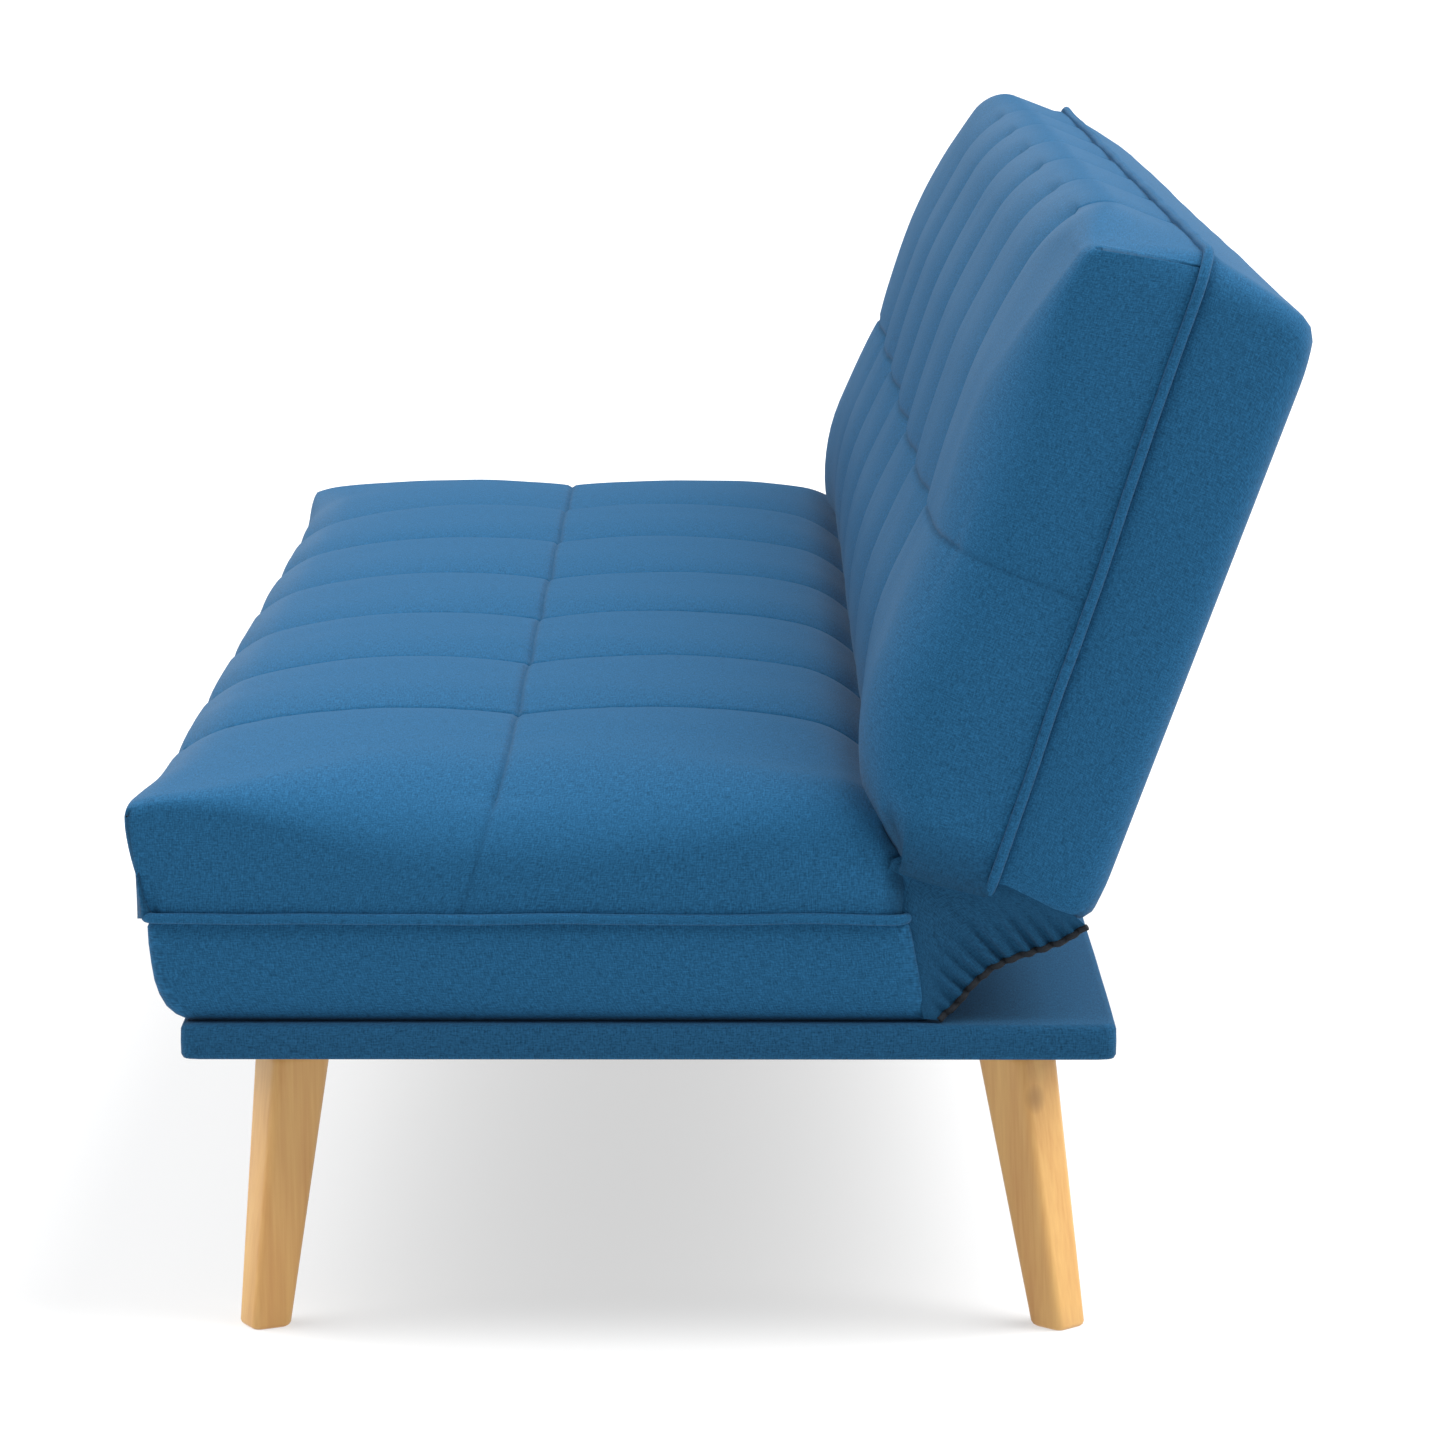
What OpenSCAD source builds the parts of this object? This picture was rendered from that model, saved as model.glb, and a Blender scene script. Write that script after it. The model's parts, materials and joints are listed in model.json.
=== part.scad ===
// Three-seat click-clack sofa bed: a quilted seat fixed to a wrapped base board on four splayed
// legs, and a quilted back that folds down behind the seat on two ratchet hinges.
// Origin: centre of the footprint box on the floor. X runs along the sofa, -Y is the front.

/* [Overall] */
// Length from end to end
length = 1750; // [1500:10:2000]
// Angle of the back from upright in the sofa position
recline = 21.3; // [15:0.1:28]

/* [Base board] */
// Front edge of the wrapped board
base_front = -349; // [-360:1:-340]
// Rear edge of the wrapped board
base_rear = 262; // [250:1:275]
// Height of the board's underside above the floor
base_bottom = 192; // [150:1:230]
// Thickness of the board with its fabric
base_t = 24; // [22:1:30]

/* [Legs] */
// Width of a leg's square top
leg_top_w = 42; // [36:1:48]
// Width of a leg's square foot
leg_foot_w = 28; // [22:1:32]
// Distance of the feet from the middle of the sofa
leg_foot_x = 815; // [760:1:830]
// Outward splay of a leg along the sofa
leg_splay_x = 25; // [10:1:35]

/* [Seat] */
// Height of the seat's crown above the floor
seat_top = 381; // [350:1:382]
// Front of the seat cushion
seat_front = -384; // [-400:1:-370]
// Rear face of the seat cushion
seat_rear = 126; // [110:1:130]
// Height of the piping around the seat
seat_pipe_z = 286; // [270:1:300]

/* [Back] */
// Length of the back from its lower to its upper edge
back_h = 447; // [400:1:480]
// Forward bulge of the back cushion from the pivot's plane
back_front = 90; // [75:1:95]
// Depth of the back behind the pivot's plane
back_rear = 92; // [80:1:96]

/* [Hinges] */
// Distance of the pivot behind the middle of the footprint
pivot_y = 155; // [150:1:165]
// Height of the pivot above the floor
pivot_z = 315; // [310:1:330]
// Steel thickness of the hinge arms
arm_t = 4; // [3:0.5:5]
// Radius of the pivot bolt
bolt_r = 5; // [4:0.5:6]

/* [Fabric] */
// Thickness of the plain cover
cover_t = 2.5; // [2:0.5:4]
// Thickness of the quilted cover with its wadding
quilt_t = 16; // [10:1:18]
// Radius of the piping cord
pipe_r = 3.5; // [2.5:0.5:5]

/* [Hidden] */
$fn = 48;

blue = "#2a6390";
shade_blue = "#1e4f7a";
pine = "#d8b98a";
oiled_wood = "#d29a57";
steel = "#8f9499";
black = "#202226";
cream = "#e9e2d0";

half = length / 2;
end_wall = half - 2;          // outer face of the covers' ends, under the piping's crown
base_top = base_bottom + base_t;
board_skin = 3;               // fabric and wadding around the base board
wrap_ease = 1.5;              // how far the wrapped board's edges step in
hem = 30;                     // width of the cover turned under the board
eps = 0.01;

// Hinge stations measured from the middle of the sofa, outermost first
rail_outer = half - 17;
rail_t = 20;
arm_outer = rail_outer - rail_t;
arm_inner = arm_outer - arm_t;
arm_gap = 2;
ratchet_outer = arm_inner - arm_gap;
ratchet_inner = ratchet_outer - arm_t;
slit_in = ratchet_inner - 8;
slit_out = arm_outer + 8;
hub_r = 20;
tip_r = 25;
root_r = 21;
hub_room = 27;                // radius kept free around the pivot in the back's soft parts

// Seat frame
rail_h = 64;
seat_rail_y0 = base_front + 9;
seat_rail_y1 = seat_rear - 8;
seat_rail_top = base_top + rail_h;
spring_z = seat_rail_top + 5;
spring_w = 3.2;
seat_felt_z = spring_z + 6;
seat_foam_z = seat_felt_z + 4;

// Back frame, in the back's own directions: u runs up the back, v points forward
back_u0 = -13;                // lowest point of the cushion
back_u1 = back_u0 + back_h;
back_top_soft = 43;           // wadding and cover above the top rail
box_fall = 14;                // how far the box behind the piping falls below it at the top
rail_u0 = 34;
rail_u1 = back_u1 - back_top_soft;
rail_v0 = -72;
rail_v1 = 26;
back_felt_v = rail_v1 + 6;
back_foam_v = back_felt_v + 3;
pipe_low = [back_u0 + 4, -26];
pipe_high = [back_u1, -5];
back_top_wadding = 28;        // wadding over the back's upper edge

// Shaved edges of the foam at the ends of the sofa
core_shave = 70;
core_drop = 34;

// ---- helpers -------------------------------------------------------------------------------

// Points of a cubic curve from a to d, without its last point
function curve(a, b, c, d, n) = [for (i = [0 : n - 1]) let (t = i / n, s = 1 - t)
    s * s * s * a + 3 * s * s * t * b + 3 * s * t * t * c + t * t * t * d];

// Outline of a ribbon of width w along a path
function ribbon(path, w) = let (last = len(path) - 1,
    side = [for (i = [0 : last]) let (d = path[min(i + 1, last)] - path[max(i - 1, 0)])
        [-d.y, d.x] / norm(d) * w / 2])
    concat([for (i = [0 : last]) path[i] + side[i]],
        [for (i = [last : -1 : 0]) path[i] - side[i]]);

// An outline drawn in Y and Z, made solid between two stations along X
module along_x(x0, x1) {
    translate([x0, 0, 0]) rotate([90, 0, 90]) linear_extrude(x1 - x0) children();
}

// Everything drawn for the right-hand end, moved to the left-hand end when asked
module at_end(right) {
    if (right) children();
    else mirror([1, 0, 0]) children();
}

// The back's own plane: an outline in v (forward) and u (up), about the pivot
module in_back(x0, x1) {
    translate([0, pivot_y, pivot_z]) rotate([-recline, 0, 0]) along_x(x0, x1)
        mirror([1, 0]) children();
}

// A straight round bar between two points
module bar(a, b, r) {
    d = b - a;
    translate(a) rotate([0, acos(d.z / norm(d)), atan2(d.y, d.x)]) cylinder(r = r, h = norm(d));
}

// A closed cord through the corners of a rectangle, with a small knuckle at each corner
module cord_loop(corners, r) {
    for (i = [0 : 3]) {
        bar(corners[i], corners[(i + 1) % 4], r);
        translate(corners[i]) sphere(r = r * 1.08);
    }
}

// A point of the back, given by x, u and v, in the sofa's frame
function from_back(x, u, v) = [x, pivot_y + u * sin(recline) - v * cos(recline),
    pivot_z + u * cos(recline) + v * sin(recline)];

// ---- outlines ------------------------------------------------------------------------------

// Seat cushion in Y and Z, drawn inward by i, and by rear_i at its plain rear face
function seat_outline(i, rear_i) = let (f = seat_front + i, t = seat_top - i,
    r = seat_rear - rear_i) concat(
    curve([f + 16, seat_pipe_z], [f - 2, seat_pipe_z + 24], [f - 8, t - 28], [f + 14, t - 14], 6),
    curve([f + 14, t - 14], [f + 36, t - 2], [f + 90, t], [f + 140, t], 4),
    curve([-100, t], [30, t - 1], [100, t - 4], [r - 6, seat_pipe_z + 38 - i], 8),
    curve([r - 6, seat_pipe_z + 38 - i], [r - 1, seat_pipe_z + 28], [r, seat_pipe_z + 10],
        [r, seat_pipe_z], 3),
    [[r, seat_pipe_z]]);

// Lower band of the seat in Y and Z, drawn inward by i
function band_outline(i) = concat(
    [[seat_rear + 14 - i, base_top + 1], [seat_rear - i, seat_pipe_z]],
    curve([seat_front + 16 + i, seat_pipe_z], [seat_front + 17 + i, seat_pipe_z - 30],
        [seat_front + 24 + i, base_top + 14], [seat_front + 39 + i, base_top + 1], 5),
    [[seat_front + 39 + i, base_top + 1]]);

// Front half of the back in v and u, drawn inward by i, and by top_i at its upper edge
function back_front_outline(i, top_i) = let (f = back_front - i, lo = back_u0 + i,
    hi = back_u1 - top_i)
    concat([[pipe_low.y, pipe_low.x + i]],
        curve([-4, lo], [36, lo + 8], [f - 10, 36 + i], [f, 112], 9),
        curve([f, 290], [f - 6, 370], [f - 12, hi - 22], [f - 18, hi - 10], 4),
        curve([f - 18, hi - 10], [f - 22, hi - 3], [f - 30, hi], [f - 40, hi], 3),
        [[pipe_high.y, pipe_high.x - top_i]]);

// Rear half of the back in v and u, drawn inward by i
function back_rear_outline(i) = let (r = -back_rear + i, lo = -1 + i,
    hi = back_u1 - box_fall - i) [
    [pipe_low.y, pipe_low.x + i], [pipe_high.y, pipe_high.x - i], [-50, hi], [r + 12, hi - 9],
    [r, hi - 19], [r - 4, 20], [r, lo + 4], [r + 6, lo], [-42, lo]];

// ---- base and legs -------------------------------------------------------------------------

bolt_xs = [-rail_outer + 40, 0, rail_outer - 40];
bolt_ys = [seat_rail_y0 + rail_t / 2, seat_rail_y1 - rail_t / 2];
bolt_hole_r = 3.2;
bolt_sink_r = 8;
leg_h = base_bottom + 1;
leg_top_x = leg_foot_x - leg_splay_x;
leg_front_foot_y = -300;
leg_rear_foot_y = 228;
leg_front_top_y = -280;
leg_rear_top_y = 198;
leg_tops = [for (x = [-leg_top_x, leg_top_x], y = [leg_front_top_y, leg_rear_top_y]) [x, y]];
t_nut_r = 5.5;
thread_r = 4;

module base_board() {
    color(pine) difference() {
        translate([-half + board_skin, base_front + board_skin, base_bottom + board_skin])
            cube([length - 2 * board_skin, base_rear - base_front - 2 * board_skin,
                base_t - 2 * board_skin]);
        for (p = leg_tops) translate([p.x, p.y, base_bottom]) {
            cylinder(r = t_nut_r, h = base_t);
            translate([0, 0, base_t - board_skin - 1.6]) cylinder(r = 12, h = 5);
        }
        for (x = bolt_xs, y = bolt_ys) translate([x, y, base_bottom]) {
            cylinder(r = bolt_hole_r, h = base_t);
            cylinder(r = bolt_sink_r, h = board_skin + 5);
        }
    }
}

module base_cover() {
    w = base_rear - base_front;
    e = wrap_ease;
    color(blue) difference() {
        translate([0, base_front + w / 2, base_bottom]) union() {
            translate([-half, -w / 2 + e, e]) cube([length, w - 2 * e, base_t - 2 * e]);
            translate([-half + e, -w / 2, e]) cube([length - 2 * e, w, base_t - 2 * e]);
            translate([-half + e, -w / 2 + e, 0]) cube([length - 2 * e, w - 2 * e, base_t]);
        }
        translate([-half + board_skin, base_front + board_skin, base_bottom + board_skin])
            cube([length - 2 * board_skin, w - 2 * board_skin, base_t - 2 * board_skin]);
        translate([-half + hem, base_front + hem, base_bottom - 1])
            cube([length - 2 * hem, w - 2 * hem, board_skin + 1 + eps]);
        for (x = bolt_xs, y = bolt_ys) translate([x, y, base_bottom]) {
            cylinder(r = bolt_hole_r, h = base_t + 1);
            cylinder(r = bolt_sink_r, h = board_skin + 1);
        }
    }
}

module base_dust_cover() {
    color(black) difference() {
        translate([-half + hem, base_front + hem, base_bottom + 1])
            cube([length - 2 * hem, base_rear - base_front - 2 * hem, board_skin - 1]);
        for (p = leg_tops) translate([p.x, p.y, base_bottom]) cylinder(r = t_nut_r, h = 5);
    }
}

// A tapered square leg with rounded edges; turn is its angle about its own bolt
module leg(x, top_y, foot_y, turn) {
    module ring(w, r) {
        for (a = [-1, 1], b = [-1, 1])
            translate([a * (w / 2 - r), b * (w / 2 - r), 0]) cylinder(r = r, h = 1, $fn = 24);
    }
    side = sign(x);
    color(oiled_wood) hull() {
        translate([side * leg_top_x, top_y, leg_h - 1]) rotate(turn * side) ring(leg_top_w, 7);
        translate([x, foot_y, 0]) rotate(turn * side) ring(leg_foot_w, 6);
    }
}

module leg_front_left() { leg(-leg_foot_x, leg_front_top_y, leg_front_foot_y, 28); }
module leg_front_right() { leg(leg_foot_x, leg_front_top_y, leg_front_foot_y, 28); }
module leg_rear_left() { leg(-leg_foot_x, leg_rear_top_y, leg_rear_foot_y, 45); }
module leg_rear_right() { leg(leg_foot_x, leg_rear_top_y, leg_rear_foot_y, 45); }

module leg_t_nuts() {
    color(steel) for (p = leg_tops) translate([p.x, p.y, base_bottom]) difference() {
        union() {
            translate([0, 0, board_skin + 1]) cylinder(r = t_nut_r, h = base_t - 2 * board_skin - 1);
            translate([0, 0, base_t - board_skin - 1.6]) cylinder(r = 11.8, h = 1.6);
        }
        cylinder(r = thread_r + 0.05, h = base_t);
    }
}

module leg_hanger_bolts() {
    color(steel) for (p = leg_tops) translate([p.x, p.y, leg_h - 40])
        cylinder(r = thread_r, h = 40 + base_t - board_skin - 3);
}

// ---- seat ----------------------------------------------------------------------------------

cross_xs = [-rail_outer / 3, rail_outer / 3];
spring_xs = [for (i = [-2 : 2]) i * 310 + 0.5];
spring_pitch = 25.2;
spring_reach = 24;

module seat_rail_front() {
    color(pine) translate([-rail_outer, seat_rail_y0, base_top])
        cube([2 * rail_outer, rail_t, rail_h]);
}

// Its ends are cut low, to pass under the hinge arms
module seat_rail_rear() {
    color(pine) translate([0, seat_rail_y1 - rail_t, base_top]) {
        translate([-slit_in, 0, 0]) cube([2 * slit_in, rail_t, rail_h]);
        translate([-arm_outer, 0, 0]) cube([2 * arm_outer, rail_t, 16]);
    }
}

module seat_rail_side() {
    translate([arm_outer, seat_rail_y0 + rail_t, base_top])
        cube([rail_t, seat_rail_y1 - seat_rail_y0 - rail_t, rail_h]);
}

module seat_rail_left() { color(pine) at_end(false) seat_rail_side(); }
module seat_rail_right() { color(pine) at_end(true) seat_rail_side(); }

module seat_cross_rails() {
    color(pine) for (x = cross_xs) translate([x - 15, seat_rail_y0 + rail_t, base_top])
        cube([30, seat_rail_y1 - seat_rail_y0 - 2 * rail_t, 40]);
}

// Zigzag spring: straight bars across, joined by half-round turns
module seat_springs() {
    y0 = seat_rail_y0 + rail_t / 2;
    n = floor((seat_rail_y1 - rail_t / 2 - y0) / spring_pitch);
    r = spring_pitch / 2;
    path = [for (k = [0 : n]) let (s = k % 2 == 0 ? 1 : -1)
        for (q = (k < n ? [-1, 0, 1, 2, 3] : [-1, 0])) q < 1
            ? [s * (q == 0 ? 1 : -1) * (spring_reach - r), y0 + k * spring_pitch]
            : [s * (spring_reach - r + r * sin(q * 45)),
                y0 + k * spring_pitch + r * (1 - cos(q * 45))]];
    color(steel) for (x = spring_xs) translate([x, 0, spring_z - spring_w / 2])
        linear_extrude(spring_w) polygon(ribbon(path, spring_w));
}

module seat_spring_clips() {
    n = floor((seat_rail_y1 - seat_rail_y0 - rail_t) / spring_pitch);
    ys = [seat_rail_y0 + rail_t / 2, seat_rail_y0 + rail_t / 2 + n * spring_pitch];
    color(black) for (x = spring_xs, y = ys) translate([x, y, seat_rail_top]) difference() {
        translate([-5, -7, 0]) cube([10, 14, 9]);
        translate([-6, -spring_w / 2 - 0.3, 3.1]) cube([12, spring_w + 0.6, 3.8]);
    }
}

module seat_felt_pad() {
    x = rail_outer - 6;
    color(black) translate([-x, seat_rail_y0, seat_felt_z])
        cube([2 * x, seat_rail_y1 - seat_rail_y0 - 44, 3]);
}

// Front view of a cushion's core: a block from the middle out to x1 and up to h1, its upper
// corners shaved off over shave across and drop down
module shaved_block(x1, h0, h1, shave, drop) {
    polygon([[-x1, h0], [x1, h0], [x1, h1 - drop], [x1 - shave, h1], [-x1 + shave, h1],
        [-x1, h1 - drop]]);
}

// The room inside the seat's quilted cover, drawn inward by i
module seat_core(i) {
    x = end_wall - quilt_t - i;
    intersection() {
        along_x(-x, x) union() {
            polygon(seat_outline(quilt_t + i, cover_t + i));
            translate([seat_front + 16 + quilt_t + i, seat_pipe_z - 5])
                square([seat_rear - seat_front - 16 - quilt_t - cover_t - 2 * i, 6]);
        }
        translate([0, seat_rear + 1, 0]) rotate([90, 0, 0])
            linear_extrude(seat_rear - seat_front + 2)
                shaved_block(x, seat_pipe_z - 6, seat_top - quilt_t - i, core_shave, core_drop);
    }
}

module seat_foam() {
    color(cream) difference() {
        seat_core(1);
        translate([-half, seat_front, seat_pipe_z - 10])
            cube([length, seat_rear - seat_front, seat_foam_z - seat_pipe_z + 10]);
        for (right = [true, false]) at_end(right) translate([slit_in - 2, 70, seat_foam_z - 1])
            cube([slit_out - slit_in + 4, 80, 34]);
    }
}

// Room for the hinge arms where they leave the seat's rear face
module seat_slits() {
    for (right = [true, false]) at_end(right) translate([slit_in, seat_rear - 20, 238])
        cube([slit_out - slit_in, 60, 82]);
}

module seat_cushion() {
    color(blue) difference() {
        along_x(-end_wall, end_wall) polygon(seat_outline(0, 0));
        seat_core(0);
        seat_slits();
    }
}

module seat_border() {
    color(shade_blue) difference() {
        along_x(-end_wall, end_wall) polygon(band_outline(0));
        along_x(-end_wall + cover_t, end_wall - cover_t) union() {
            polygon(band_outline(cover_t));
            translate([seat_front + 39 + cover_t, base_top - 1])
                square([seat_rear - seat_front - 25 - 2 * cover_t, 4]);
            translate([seat_front + 16 + cover_t, seat_pipe_z - 1])
                square([seat_rear - seat_front - 16 - 2 * cover_t, 4]);
        }
        seat_slits();
    }
}

module seat_piping() {
    x = end_wall;
    y0 = seat_front + 16;
    y1 = seat_rear;
    z = seat_pipe_z;
    color(blue) difference() {
        cord_loop([[-x, y0, z], [x, y0, z], [x, y1, z], [-x, y1, z]], pipe_r);
        seat_slits();
    }
}

module seat_base_bolts() {
    color(steel) for (x = bolt_xs, y = bolt_ys) translate([x, y, base_bottom + board_skin]) {
        cylinder(r = 7, h = 4.5);
        cylinder(r = 3, h = 60);
    }
}

// ---- back ----------------------------------------------------------------------------------

// Room for the seat arms, the pivots and the ratchets in the back's soft parts
module back_slits() {
    for (right = [true, false]) at_end(right) {
        in_back(slit_in, slit_out) circle(r = hub_room);
        in_back(ratchet_inner - 1.5, arm_outer + 1.5) translate([-52, -40]) square([90, 46]);
    }
}

module back_rail(x0, x1, u0, u1) {
    color(pine) in_back(x0, x1) translate([rail_v0, u0]) square([rail_v1 - rail_v0, u1 - u0]);
}

module back_rail_top() { back_rail(-rail_outer + 6, rail_outer - 6, rail_u1 - rail_t, rail_u1); }
module back_rail_bottom() { back_rail(-ratchet_inner, ratchet_inner, rail_u0, rail_u0 + rail_t); }
module back_rail_right() {
    back_rail(ratchet_outer, ratchet_outer + rail_t, rail_u0, rail_u1 - rail_t);
}
module back_rail_left() {
    back_rail(-ratchet_outer - rail_t, -ratchet_outer, rail_u0, rail_u1 - rail_t);
}

module back_cross_rails() {
    color(pine) for (x = cross_xs) in_back(x - 15, x + 15)
        translate([rail_v0, rail_u0 + rail_t]) square([60, rail_u1 - rail_u0 - 2 * rail_t]);
}

module back_webbing() {
    color(black) {
        for (i = [-3 : 3]) in_back(i * 230 - 25, i * 230 + 25)
            translate([rail_v1, rail_u0 + 2]) square([1.8, rail_u1 - rail_u0 - 4]);
        for (u = [130, 210, 290]) in_back(-ratchet_outer - 10, ratchet_outer + 10)
            translate([rail_v1 + 2, u - 25]) square([1.8, 50]);
    }
}

module back_felt_pad() {
    color(black) in_back(-rail_outer + 6, rail_outer - 6)
        translate([back_felt_v - 2, rail_u0]) square([3, rail_u1 - rail_u0]);
}

// The room inside the back's quilted cover, drawn inward by i
module back_core(i) {
    x = end_wall - quilt_t - i;
    top_i = back_top_wadding + i;
    intersection() {
        in_back(-x, x) union() {
            polygon(back_front_outline(quilt_t + i, top_i));
            polygon([pipe_line(-3, quilt_t + i), pipe_line(-3, -top_i), pipe_line(3, -top_i),
                pipe_line(3, quilt_t + i)]);
        }
        translate([0, pivot_y, pivot_z]) rotate([-recline, 0, 0]) translate([0, 0, back_u0])
            mirror([0, 1, 0]) linear_extrude(back_h)
                shaved_block(x, -40, back_front - quilt_t - i, core_shave, core_drop);
    }
}

module back_foam() {
    color(cream) difference() {
        back_core(1);
        in_back(-half, half) translate([-60, back_u0]) square([60 + back_foam_v, back_h]);
        in_back(-half, half) translate([0, back_u0]) square([100, 20 - back_u0]);
    }
}

module back_cushion() {
    color(blue) difference() {
        in_back(-end_wall, end_wall) polygon(back_front_outline(0, 0));
        back_core(0);
        back_slits();
    }
}

// A corner of the opening between the two halves of the back, v0 across the piping's line and
// inset from the lower end when k is above zero, from the upper end when it is below
function pipe_line(v0, k) = k > 0 ? [pipe_low.y + v0, pipe_low.x + k]
    : [pipe_high.y + v0, pipe_high.x + k];

module back_border() {
    k = cover_t;
    color(shade_blue) difference() {
        in_back(-end_wall, end_wall) polygon(back_rear_outline(0));
        in_back(-end_wall + k, end_wall - k) union() {
            polygon(back_rear_outline(k));
            polygon([pipe_line(-3, k), pipe_line(-3, -k), pipe_line(3, -k), pipe_line(3, k)]);
        }
        back_slits();
    }
}

module back_piping() {
    x = end_wall;
    color(blue) difference() {
        cord_loop([from_back(-x, pipe_low.x, pipe_low.y), from_back(x, pipe_low.x, pipe_low.y),
            from_back(x, pipe_high.x, pipe_high.y), from_back(-x, pipe_high.x, pipe_high.y)],
            pipe_r);
        back_slits();
    }
}

// ---- hinges --------------------------------------------------------------------------------

pivot = [pivot_y, pivot_z];
pawl_reach = 38;              // from the pawl's pin to its nose
pawl_pin = pivot + [-pawl_reach, -tip_r - 0.6];
pin_r = 3;
arm_bolt_r = 3;
head_gap = 0.1;               // play under the heads of the bolts that something turns on
seat_bolt_ys = [-40, 30];
seat_bolt_z = 250;
back_bolt_us = [110, 190];
back_bolt_v = -22;
notches = [-10, 0, 35, 68.7]; // fold angles at which the back can be held

// The arm bolted to the seat frame, with the pivot at its tip
module seat_arm_plate() {
    along_x(arm_inner, arm_outer) difference() {
        union() {
            translate([-75, 234]) square([170, 32]);
            polygon([[78, 266], [60, 234], [118, 234], pivot + [17, -11], pivot + [-13, 15.5]]);
            translate(pivot) circle(r = hub_r);
        }
        translate(pivot) circle(r = bolt_r + 0.05);
        translate(pawl_pin) circle(r = pin_r + 0.05);
        for (y = seat_bolt_ys) translate([y, seat_bolt_z]) circle(r = arm_bolt_r + 0.1);
    }
}

// The arm bolted to the back frame, with the ratchet around the pivot
module back_arm_plate() {
    in_back(ratchet_inner, ratchet_outer) difference() {
        union() {
            circle(r = tip_r);
            translate([-40, 30]) square([30, 190]);
            polygon([[-40, 44], [-20, 8], [20, 12], [-10, 50]]);
        }
        circle(r = bolt_r + 0.08);
        for (u = back_bolt_us) translate([back_bolt_v, u]) circle(r = arm_bolt_r + 0.1);
        for (n = notches) rotate(notch_angle(n)) translate([root_r, -3.2]) square([10, 6.4]);
    }
}

// Direction of a notch in the back's own plane, so that it stands over the pawl at fold angle n
function notch_angle(n) = 270 - recline - n;

// The pawl lies just clear of the tooth tips and drops into a notch as it turns
module pawl_plate() {
    nose = pawl_pin + [pawl_reach, 0];
    along_x(ratchet_inner, ratchet_outer) difference() {
        union() {
            translate(pawl_pin) circle(r = 7);
            polygon([nose + [2.4, 0], nose + [-2.4, 0], nose + [-4.5, -7], pawl_pin + [3, 6.3],
                pawl_pin + [-2, -6.7], nose + [3, -12]]);
        }
        translate(pawl_pin) circle(r = pin_r + 0.05);
    }
}

module headed_bolt(p, x0, x1, r, head_r, head_h) {
    translate([x0, p.x, p.y]) rotate([0, 90, 0]) cylinder(r = r, h = x1 - x0);
    translate([x0 - head_h, p.x, p.y]) rotate([0, 90, 0]) cylinder(r = head_r, h = head_h);
}

module pivot_bolt() {
    headed_bolt(pivot, ratchet_inner - head_gap, arm_outer + 6, bolt_r, 8.5, 5);
}

module pawl_pin_part() {
    headed_bolt(pawl_pin, ratchet_inner - 4 * head_gap, arm_outer, pin_r, 5, 2);
}

// A leaf spring riveted to the seat arm, with its free end under the pawl
module pawl_spring() {
    foot = pawl_pin + [-28, -28];
    along_x(ratchet_inner, arm_inner) polygon(ribbon([foot, foot + [12, 4], foot + [26, 11],
        foot + [38, 16], foot + [48, 17.5]], 1));
    along_x(arm_inner - 1, arm_inner) translate(foot + [-3, -9]) square([14, 8.6]);
}

module seat_arm_left() { color(steel) at_end(false) seat_arm_plate(); }
module seat_arm_right() { color(steel) at_end(true) seat_arm_plate(); }
module back_arm_left() { color(steel) at_end(false) back_arm_plate(); }
module back_arm_right() { color(steel) at_end(true) back_arm_plate(); }
module pivot_bolt_left() { color(steel) at_end(false) pivot_bolt(); }
module pivot_bolt_right() { color(steel) at_end(true) pivot_bolt(); }
module pawl_left() { color(steel) at_end(false) pawl_plate(); }
module pawl_right() { color(steel) at_end(true) pawl_plate(); }
module pawl_pin_left() { color(steel) at_end(false) pawl_pin_part(); }
module pawl_pin_right() { color(steel) at_end(true) pawl_pin_part(); }
module pawl_spring_left() { color(steel) at_end(false) pawl_spring(); }
module pawl_spring_right() { color(steel) at_end(true) pawl_spring(); }

module pivot_nuts() {
    color(steel) for (right = [true, false]) at_end(right)
        translate([arm_outer, pivot.x, pivot.y]) rotate([0, 90, 0]) difference() {
            cylinder(r = 8, h = 5, $fn = 6);
            translate([0, 0, -1]) cylinder(r = bolt_r + 0.02, h = 7);
        }
}

module pivot_washers() {
    color(steel) for (right = [true, false]) at_end(right)
        translate([ratchet_outer, pivot.x, pivot.y]) rotate([0, 90, 0]) difference() {
            cylinder(r = 11, h = arm_gap);
            translate([0, 0, -1]) cylinder(r = bolt_r + 0.05, h = arm_gap + 2);
        }
}

module seat_arm_bolts() {
    color(steel) for (right = [true, false], y = seat_bolt_ys) at_end(right)
        headed_bolt([y, seat_bolt_z], arm_inner, arm_outer + 16, arm_bolt_r, 6, 3);
}

module back_arm_bolts() {
    color(steel) for (right = [true, false], u = back_bolt_us) at_end(right)
        let (p = from_back(0, u, back_bolt_v))
            headed_bolt([p.y, p.z], ratchet_inner, ratchet_outer + 16, arm_bolt_r, 6, 3);
}

// ---- gussets -------------------------------------------------------------------------------

gusset_x = end_wall - 6;
gusset_low = [143, base_top + 3];
gusset_high = [234, 278];

// The gathered free edge, from the foot of the seat to the lower rear corner of the back
function gusset_edge() = concat(curve(gusset_low, [172, 244], [196, 266], gusset_high, 6),
    [gusset_high]);

module gusset_sheet() {
    along_x(gusset_x - 1, gusset_x + 1) polygon(concat(gusset_edge(),
        [[212, 287], [182, 293], [160, 295], [146, 298], [134, 308], [129.5, 300],
            [128.5, 288], [134, 262]]));
}

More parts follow.
